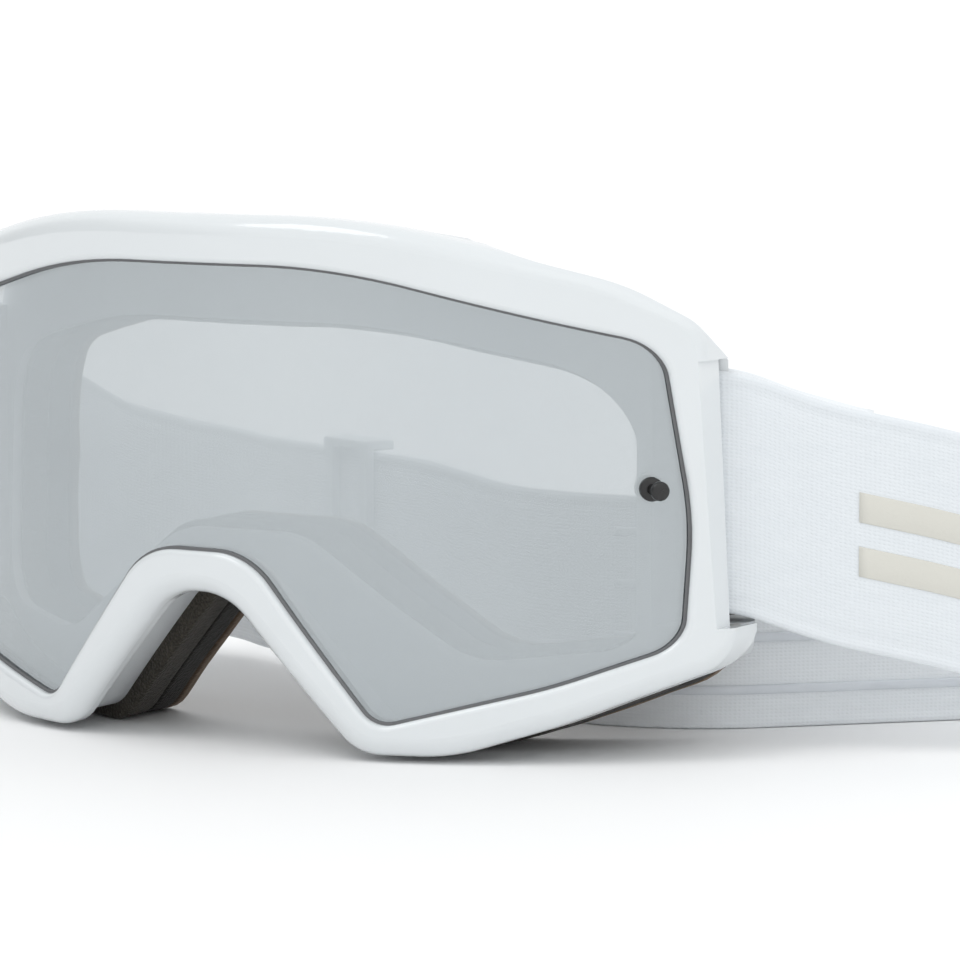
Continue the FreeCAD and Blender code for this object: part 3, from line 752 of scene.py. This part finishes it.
@dataclass
class StrapHalf:
    """Half of the elastic strap, from its sewn end round the bar to the far adjuster.

    Stops give the lower edge's height at distances along the route, and end stops at
    distances back from its end.
    """

    half: Half
    bar: Vector
    towards: float
    corners: list[Corner]
    stops: list[tuple[float, float]]
    bands: list[Trim]
    grips: list[Trim]
    end_stops: list[tuple[float, float]] = field(default_factory=list)
    width: float = 40.0
    thickness: float = 2.0
    gap: float = 0.3
    doubled: float = 26.0
    loop: float = 3.35
    step: float = 1.6
    easing: float = 3.0

    def __post_init__(self) -> None:
        """Work out the stations."""
        self.stations = self._stations()

    @property
    def body(self) -> str:
        """Name of the body that the half rides on."""
        return "strap_" + self.half.name.lower()

    def _bar_loop(self) -> list[Corner]:
        """Corners from the sewn end, round the bar and out again."""
        angle = math.radians(self.towards)
        along = Vector((math.cos(angle), math.sin(angle)))
        left = Vector((-along.y, along.x)) * self.half.value
        lay = (self.thickness + self.gap) / 2
        wide = self.loop
        places = [
            (self.doubled, lay, 0), (14.0, lay, 20.0), (1.0, wide, 6.0),
            (-wide, wide, wide * 0.98), (-wide, -wide, wide * 0.98), (1.0, -wide, 6.0),
            (14.0, -lay, 20.0)]
        bar = Vector(self.bar[:2]) / MM
        return [(*(bar + along * s + left * n), radius) for s, n, radius in places]

    def _low(self, distance: float) -> float:
        """Height of the lower edge, with the corners between its stops eased."""
        total = 0.0
        samples = 7
        for k in range(samples):
            at = distance + self.easing * (2 * k / (samples - 1) - 1)
            for (d0, z0), (d1, z1) in zip(self.stops, self.stops[1:]):
                if at <= d1 or (d1, z1) == self.stops[-1]:
                    share = min(1.0, max(0.0, (at - d0) / (d1 - d0)))
                    total += z0 + (z1 - z0) * share
                    break
        return total / samples

    def _stations(self) -> list[Station]:
        """Stations all along the half."""
        points = rounded_path(self._bar_loop() + self.corners, False, self.step)
        length = sum((after - before).length for before, after in zip(points, points[1:]))
        self.stops += [(length - back, low) for back, low in self.end_stops]
        stations: list[Station] = []
        distance = 0.0
        for i, point in enumerate(points):
            before = points[max(i - 1, 0)]
            after = points[min(i + 1, len(points) - 1)]
            along = (after - before).normalized()
            if i:
                distance += (point - before).length
            left = Vector((-along.y, along.x))
            stations.append(Station(point, left, distance, self._low(distance)))
        return stations

    @property
    def length(self) -> float:
        """Length of the webbing."""
        return self.stations[-1].distance

    def _matrix(self, station: Station) -> Matrix:
        """Place of a cross-section: its X is the normal, and its Z the height."""
        normal = Vector((*station.normal, 0))
        along = Vector((normal.y, -normal.x, 0))
        up = Vector((0, 0, 1))
        turned = Matrix((normal, along, up)).transposed().to_4x4()
        return Matrix.Translation(Vector((*station.point, station.low)) * MM) @ turned

    def sweep(
            self, stations: list[Station], section: list[tuple[float, float]]) -> bmesh.types.BMesh:
        """Carry a closed cross-section along stations by extruding it.

        Args:
            stations: Where it goes.
            section: Its corners, as offsets along the normal and upwards, in millimetres.

        Returns:
            A closed shell, with the strap's measures kept on its points.
        """
        bm = bmesh.new()
        along = bm.verts.layers.float.new("along")
        rise = bm.verts.layers.float.new("rise")
        side = bm.verts.layers.float.new("side")
        first = self._matrix(stations[0])
        edges = loop_edges(bm, [first @ (Vector((across, 0, up)) * MM) for across, up in section])
        for vert, (across, up) in zip(bm.verts, section):
            vert[along] = stations[0].distance * MM
            vert[rise] = up * MM
            vert[side] = -across * self.half.value / self.thickness
        ends = [edges]
        for before, station in zip(stations, stations[1:]):
            geometry = bmesh.ops.extrude_edge_only(bm, edges=edges)["geom"]
            verts = [item for item in geometry if isinstance(item, bmesh.types.BMVert)]
            edges = [item for item in geometry if isinstance(item, bmesh.types.BMEdge)]
            change = self._matrix(station) @ self._matrix(before).inverted()
            bmesh.ops.transform(bm, matrix=change, verts=verts)
            for vert in verts:
                vert[along] = station.distance * MM
        ends.append(edges)
        for ring in ends:
            bmesh.ops.contextual_create(bm, geom=ring)
        outwards(bm)
        return bm

    def _webbing_section(self) -> list[tuple[float, float]]:
        """Cross-section with a rolled selvedge at each edge and a faint dip beside it."""
        half = self.thickness / 2
        outer = [
            (0.0, 0.0), (half * 0.62, 0.12), (half * 0.95, 0.6), (half, 1.1),
            (half * 0.93, 1.7), (half * 0.8, 2.3), (half * 0.93, 3.0), (half, 4.2)]
        middle = [(half, 4.2 + (self.width - 8.4) * k / 8) for k in range(1, 8)]
        top = [(x, self.width - z) for x, z in reversed(outer)]
        right = outer + middle + top
        left = [(-x, z) for x, z in reversed(right[1:-1])]
        return right + left

    def webbing(self, finish: Knit) -> bpy.types.Object:
        """Build the webbing itself."""
        bm = self.sweep(self.stations, self._webbing_section())
        piece = smooth_object(bm, "webbing_" + self.half.name.lower(), finish.material())
        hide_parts(self.body)
        return self._carried(piece)

    def _carried(self, piece: bpy.types.Object) -> bpy.types.Object:
        """Make a piece ride on the half."""
        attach(piece, self.body)
        LOG.info("made %s", piece.name)
        return piece

    def between(self, start: float, stop: float) -> list[Station]:
        """Stations between two distances; a stop below 0 counts back from the end."""
        last = stop if stop > 0 else self.length + stop
        return [station for station in self.stations if start <= station.distance <= last]

    def _joined(self, parts: list[bmesh.types.BMesh]) -> bmesh.types.BMesh:
        """Several closed shells as one mesh."""
        whole = bmesh.new()
        for part in parts:
            mesh = bpy.data.meshes.new("part")
            part.to_mesh(mesh)
            part.free()
            whole.from_mesh(mesh)
            bpy.data.meshes.remove(mesh)
        return whole

    def _raised(self, trim: Trim, outer: bool) -> bmesh.types.BMesh:
        """A low strip with rounded edges on the webbing.

        Args:
            trim: Its place and size.
            outer: Whether it lies on the outer face.

        Returns:
            The strip.
        """
        face = -self.half.value if outer else self.half.value
        base = self.thickness / 2 - 0.08
        ease = min(trim.height * 0.6, trim.width * 0.3)
        profile = [
            (base, 0.0), (base + trim.height * 0.7, 0.0), (base + trim.height, ease),
            (base + trim.height, trim.width - ease), (base + trim.height * 0.7, trim.width),
            (base, trim.width)]
        section = [(face * across, trim.rise + up) for across, up in profile]
        return self.sweep(self.between(trim.start, trim.stop), section)

    def printed_bands(self, finish: Moulded) -> bpy.types.Object:
        """Raised print along the outer face."""
        bm = self._joined([self._raised(trim, True) for trim in self.bands])
        piece = smooth_object(bm, "print_" + self.half.name.lower(), finish.material())
        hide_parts("strap_bands_" + self.half.name.lower())
        return self._carried(piece)

    def grip_lines(self, finish: Silicone) -> bpy.types.Object:
        """Silicone lines along the inner face."""
        bm = self._joined([self._raised(trim, False) for trim in self.grips])
        piece = smooth_object(bm, "grip_" + self.half.name.lower(), finish.material())
        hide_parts("strap_grip_" + self.half.name.lower())
        return self._carried(piece)

    def bar_tacks(self, finish: Thread, rows: int = 3, pitch: float = 3.6) -> bpy.types.Object:
        """Zigzag bar tacks that hold the sewn end down.

        Args:
            finish: The thread's finish.
            rows: How many tacks.
            pitch: Distance between them, in millimetres.

        Returns:
            The new piece.
        """
        height = self.thickness / 2 + 0.1
        face = -self.half.value
        whole = bmesh.new()
        wide, tall, spacing = 1.4, self.width - 6.0, 0.85
        count = int(tall / spacing)
        for row in range(rows):
            near = self.between(2.5 + row * pitch, self.doubled)[0]
            place = self._matrix(near)
            for k in range(count):
                slant = wide / 2 if k % 2 else -wide / 2
                start = Vector((face * height, slant, 3.0 + k * spacing))
                stop = Vector((face * height, -slant, 3.0 + (k + 1) * spacing))
                self._stitch(whole, place, start * MM, stop * MM)
        outwards(whole)
        piece = smooth_object(whole, "tacks_" + self.half.name.lower(), finish.material())
        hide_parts("strap_stitching_" + self.half.name.lower())
        return self._carried(piece)

    @staticmethod
    def _stitch(bm: bmesh.types.BMesh, place: Matrix, start: Vector, stop: Vector) -> None:
        """Add one stitch, a short thread that dips into the webbing at both ends.

        Args:
            bm: Where to add it.
            place: The tack's place on the strap.
            start: Where the stitch starts.
            stop: Where it ends.
        """
        span = stop - start
        turned = span.to_track_quat("Z", "X").to_matrix().to_4x4()
        thick = 0.17 * MM
        made = bmesh.ops.create_uvsphere(bm, u_segments=7, v_segments=5, radius=thick)["verts"]
        stretch = Matrix.Diagonal((1, 1, span.length * 0.62 / thick, 1))
        middle = Matrix.Translation((start + stop) / 2)
        bmesh.ops.transform(bm, matrix=place @ middle @ turned @ stretch, verts=made)


# ---- adjusters -----------------------------------------------------------------------
@dataclass
class Adjusters:
    """Three-bar glides that set the strap's length."""

    finish: Moulded
    edge: float = 0.45

    def build(self) -> None:
        """Build both glides with rounded edges."""
        material = self.finish.material()
        for side in ("left", "right"):
            piece = softened("adjuster_" + side, "glide_" + side, self.edge * MM, material)
            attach(piece, "adjuster_" + side)
            LOG.info("moulded %s", piece.name)


# ---- studio --------------------------------------------------------------------------
@dataclass
class Studio:
    """Pale floor, soft light and the camera."""

    floor: float = 40.0
    azimuth: float = 31.34
    elevation: float = 6.281
    distance: float = 0.810
    target: Vector = Vector((0.05508, 0.0, 0.04846))
    focal: float = 189.72
    white: float = 1.02
    grey: float = 0.18
    patch: float = -66.0

    def build(self) -> None:
        """Set the studio up."""
        self._floor()
        self._world()
        self._sun("key", 58.0, -24.0, 0.55, 30.0)
        self._sun("fill", 38.0, 70.0, 0.2, 50.0)
        self._camera()

    def _floor(self) -> None:
        """Large pale floor."""
        recipe = Recipe("studio_floor", {"Specular IOR Level": 0.2})
        place = recipe.place()
        cloud = recipe.noise(place, 3.0, 2.0)
        recipe.tint((0.95, 0.95, 0.95), (0.93, 0.93, 0.93), cloud)
        recipe.roughen(recipe.spread(cloud, 0.3, 0.7, 0.55, 0.7))
        bm = bmesh.new()
        bmesh.ops.create_grid(bm, x_segments=2, y_segments=2, size=self.floor)
        floor = smooth_object(bm, "floor", recipe.material)

    def _world(self) -> None:
        """Even white surround, with a greyer patch on the wearer's right."""
        world = bpy.data.worlds.new("surround")
        world.use_nodes = True
        tree = world.node_tree
        background = tree.nodes["Background"]
        where = tree.nodes.new("ShaderNodeTexCoord")
        towards = tree.nodes.new("ShaderNodeVectorMath")
        towards.operation = "DOT_PRODUCT"
        towards.inputs[1].default_value = self._back(self.patch, 0.0)
        shade = tree.nodes.new("ShaderNodeMapRange")
        shade.interpolation_type = "SMOOTHSTEP"
        ends = {"From Min": 0.62, "From Max": 0.98, "To Min": self.white, "To Max": self.grey}
        for socket, value in ends.items():
            shade.inputs[socket].default_value = value
        tree.links.new(where.outputs["Generated"], towards.inputs[0])
        tree.links.new(towards.outputs["Value"], shade.inputs["Value"])
        tree.links.new(shade.outputs[0], background.inputs["Strength"])
        background.inputs["Color"].default_value = (0.985, 0.995, 1.0, 1)
        bpy.context.scene.world = world
        bpy.context.scene.view_settings.view_transform = "Standard"

    def _sun(
            self, name: str, elevation: float, azimuth: float, strength: float,
            size: float) -> None:
        """Broad soft light.

        Args:
            name: Its name.
            elevation: How high it stands, in degrees.
            azimuth: Its heading, in degrees.
            strength: Its strength.
            size: How wide it is, in degrees.
        """
        lamp = bpy.data.lights.new(name, "SUN")
        lamp.energy = strength
        lamp.angle = math.radians(size)
        light = bpy.data.objects.new(name, lamp)
        light.rotation_euler = self._back(azimuth, elevation).to_track_quat("Z", "Y").to_euler()
        bpy.context.scene.collection.objects.link(light)

    @staticmethod
    def _back(azimuth: float, elevation: float) -> Vector:
        """Direction towards a viewer at an azimuth and an elevation, in degrees."""
        turn, lift = math.radians(azimuth), math.radians(elevation)
        flat = Vector((math.sin(turn), -math.cos(turn), 0)) * math.cos(lift)
        return flat + Vector((0, 0, math.sin(lift)))

    def _camera(self) -> None:
        """Long lens, low on the wearer's left."""
        data = bpy.data.cameras.new("camera")
        data.lens = self.focal
        data.sensor_width = 36.0
        data.clip_start = 0.01
        camera = bpy.data.objects.new("camera", data)
        back = self._back(self.azimuth, self.elevation)
        camera.location = self.target + back * self.distance
        camera.rotation_euler = back.to_track_quat("Z", "Y").to_euler()
        bpy.context.scene.collection.objects.link(camera)
        bpy.context.scene.camera = camera


def strap_halves(joints: dict[str, dict]) -> list[StrapHalf]:
    """Both halves of the strap, hung on the bars that the joints give.

    Args:
        joints: The record's joints by name.

    Returns:
        The left and the right half.
    """
    out = 26.0 + math.pi * 3.35
    band_rises = (12.5, 21.5)
    grip_rises = (6.0, 15.0, 24.0, 33.0)
    left_bar = Vector(joints["strap_swing_left"]["pos_m"])
    right_bar = Vector(joints["strap_swing_right"]["pos_m"])
    angle = math.radians(30.5)
    inner_x = 183.7
    run = left_bar.xy / MM + Vector((math.sin(angle), -math.cos(angle))) * 1.15
    corner = run.y + (inner_x - run.x) * math.tan(angle)
    left = StrapHalf(
        Half.LEFT, left_bar, 30.5,
        [(inner_x, corner, 14.0), (inner_x, 154.0, 0)],
        [(0, 17.0), (14, 20.9), (20, 23.3), (26, 24.3), (out, 24.3), (out + 6, 23.3),
         (out + 12, 20.9),
         (out + 20, 18.3), (out + 36, 14.9), (out + 60, 8.8), (out + 84, 3.8), (out + 100, 2.1)],
        [Trim(out + 22.5, out + 84.5, rise, 5.0, 0.3) for rise in band_rises],
        [Trim(out + 56, out + 108, rise, 1.6, 0.5) for rise in grip_rises])
    right = StrapHalf(
        Half.RIGHT, right_bar, 89.0,
        [(-73.0, 104.0, 16.0), (10.0, 69.0, 60.0), (50.0, 50.5, 38.0), (96.0, 97.0, 130.0),
         (186.0, 182.5, 8.5), (186.0, 113.0, 0)],
        [(0, 16.0), (13, 23.4), (26, 24.3), (out, 24.3), (out + 13, 23.4), (out + 28, 15.0),
         (out + 43, 8.0), (out + 58, 3.8), (out + 74, 2.1), (out + 126, 2.1), (out + 150, 0.0)],
        [Trim(out + 176, out + 238, rise, 5.0, 0.3) for rise in band_rises],
        [Trim(out + 176, -60.0, rise, 1.6, 0.5) for rise in grip_rises],
        end_stops=[(100, 0.0), (60, 2.1)])
    return [left, right]


def main() -> None:
    """Build everything in order."""
    logging.basicConfig(level=logging.INFO, format="%(message)s")
    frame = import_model()
    joints = {joint["name"]: joint for joint in frame["joints"]}
    mounts = {mount["name"]: mount for mount in frame["record"]["mounts"]}

    Studio().build()
    nylon = Moulded("black_nylon", (0.010, 0.010, 0.011), (0.016, 0.016, 0.016), roughness=0.32)
    FrameShells({
        "front_bezel": Moulded("gloss_white", (0.72, 0.75, 0.765), (0.69, 0.72, 0.735),
                               roughness=0.14, coat=0.6, grain=500.0, depth=0.000006),
        "rear_frame": Moulded("satin_white", (0.66, 0.685, 0.70), (0.62, 0.645, 0.66),
                              roughness=0.42, grain=1500.0),
        "lens": MirrorCoat(),
        "lens_seal": Moulded("seal_rubber", (0.17, 0.175, 0.18), (0.14, 0.14, 0.145),
                             roughness=0.6, grain=1800.0),
        "post_washer_left": nylon,
        "post_washer_right": nylon,
    }).dress(frame["nodes"])
    for side, name in ((1, "tear_off_post_left"), (-1, "tear_off_post_right")):
        TearOffPost(side, nylon).build(mounts[name])

    FaceFoam([
        FoamLayer("foam_firm", "face_foam_base", "firm_foam", 0.0, 7.0, 0.7, 0.12,
                  CellFoam("firm_foam", (0.070, 0.062, 0.050), (0.030, 0.027, 0.022))),
        FoamLayer("foam_soft", "face_foam_soft", "soft_foam", 7.0, 6.5, 1.1, 0.18,
                  CellFoam("soft_foam", (0.034, 0.031, 0.027), (0.014, 0.013, 0.0115))),
        FoamLayer("foam_fleece", "face_fleece", "fleece", 13.5, 3.0, 1.3, 0.22, Fleece()),
    ]).build()
    VentFoams(CellFoam("filter_foam", (0.028, 0.028, 0.028), (0.006, 0.006, 0.006),
                       cell=0.9 * MM, depth=0.0004)).build()

    beige = Moulded("band_print", (0.66, 0.65, 0.595), (0.62, 0.61, 0.555),
                    roughness=0.55, grain=2200.0, depth=0.00004)
    for half in strap_halves(joints):
        half.webbing(Knit())
        half.printed_bands(beige)
        half.grip_lines(Silicone())
        half.bar_tacks(Thread())
    Adjusters(Moulded("white_acetal", (0.74, 0.76, 0.78), (0.70, 0.72, 0.74),
                      roughness=0.3, coat=0.1, grain=1300.0)).build()


if __name__ == "__main__":
    main()
